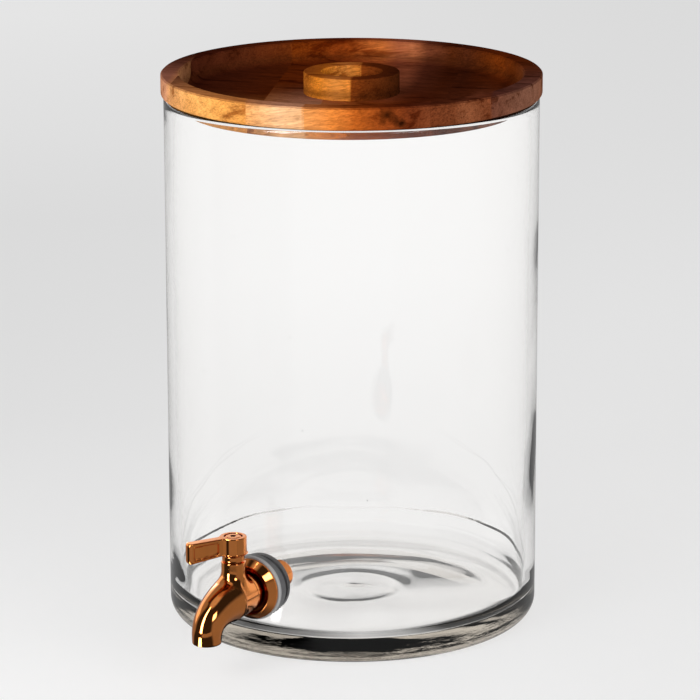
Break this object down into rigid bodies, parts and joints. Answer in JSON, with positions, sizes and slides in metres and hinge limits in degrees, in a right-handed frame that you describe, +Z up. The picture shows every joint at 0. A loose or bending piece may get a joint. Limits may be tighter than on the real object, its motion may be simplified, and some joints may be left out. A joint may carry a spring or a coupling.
{
  "type": "beverage dispenser",
  "caption": "Straight-sided clear glass drink jar with a lift-off turned wooden lid, a ring knob and a copper-coloured quarter-turn ball-valve spigot low in the wall.",
  "frame": {"origin": "on the jar's axis, in the plane of the ring that the jar stands on", "axes": "+Z up along the jar's axis, -Y towards the spigot, which is the front, and +X to the right as seen from the front"},
  "size_m": [0.213, 0.2714, 0.3142],
  "materials": {
    "glass": "clear soda-lime glass, slightly wavy, polished",
    "copper_plating": "polished copper plating over brass",
    "silicone": "translucent pale grey silicone, satin",
    "grey_rubber": "matt grey silicone rubber",
    "black_rubber": "black nitrile rubber",
    "seat_plastic": "white PTFE",
    "ball_steel": "polished stainless steel",
    "brass_stem": "turned brass",
    "screw_steel": "stainless steel",
    "honey_wood": "acacia, honey coloured, clear satin lacquer",
    "light_wood": "acacia, pale honey, clear satin lacquer",
    "pink_wood": "acacia, pinkish brown, clear satin lacquer",
    "red_wood": "acacia, speckled red brown, clear satin lacquer",
    "dark_wood": "acacia, dark reddish brown, clear satin lacquer"
  },
  "bodies": {
    "jar": {"glass_jar": "glass", "spigot_body": "copper_plating", "tail_piece": "copper_plating", "body_o_ring": "black_rubber", "flange_cup": "copper_plating", "flange_gasket": "silicone", "outer_washer": "grey_rubber", "inner_washer": "grey_rubber", "lock_nut": "copper_plating", "inlet_seat": "seat_plastic", "outlet_seat": "seat_plastic"},
    "lid": {"lid_stave_1": "pink_wood", "lid_stave_2": "honey_wood", "lid_stave_3": "honey_wood", "lid_stave_4": "honey_wood", "lid_stave_5": "red_wood", "lid_stave_6": "dark_wood", "knob_strip_left": "light_wood", "knob_strip_right": "dark_wood", "knob_screws": "screw_steel"},
    "lever": {"lever_handle": "copper_plating", "handle_screw": "copper_plating", "valve_stem": "brass_stem", "valve_ball": "ball_steel", "stem_o_ring_lower": "black_rubber", "stem_o_ring_upper": "black_rubber", "thrust_washer": "seat_plastic"}
  },
  "joints": [
    {"name": "lid_lift", "type": "slide", "parent": "jar", "child": "lid", "axis": [0, 0, 1], "range_m": [0, 0.15]},
    {"name": "lever_turn", "type": "hinge", "parent": "jar", "child": "lever", "pos_m": [0, -0.1289, 0.0428], "axis": [0, 0, 1], "range_deg": [-60, 30]}
  ]
}
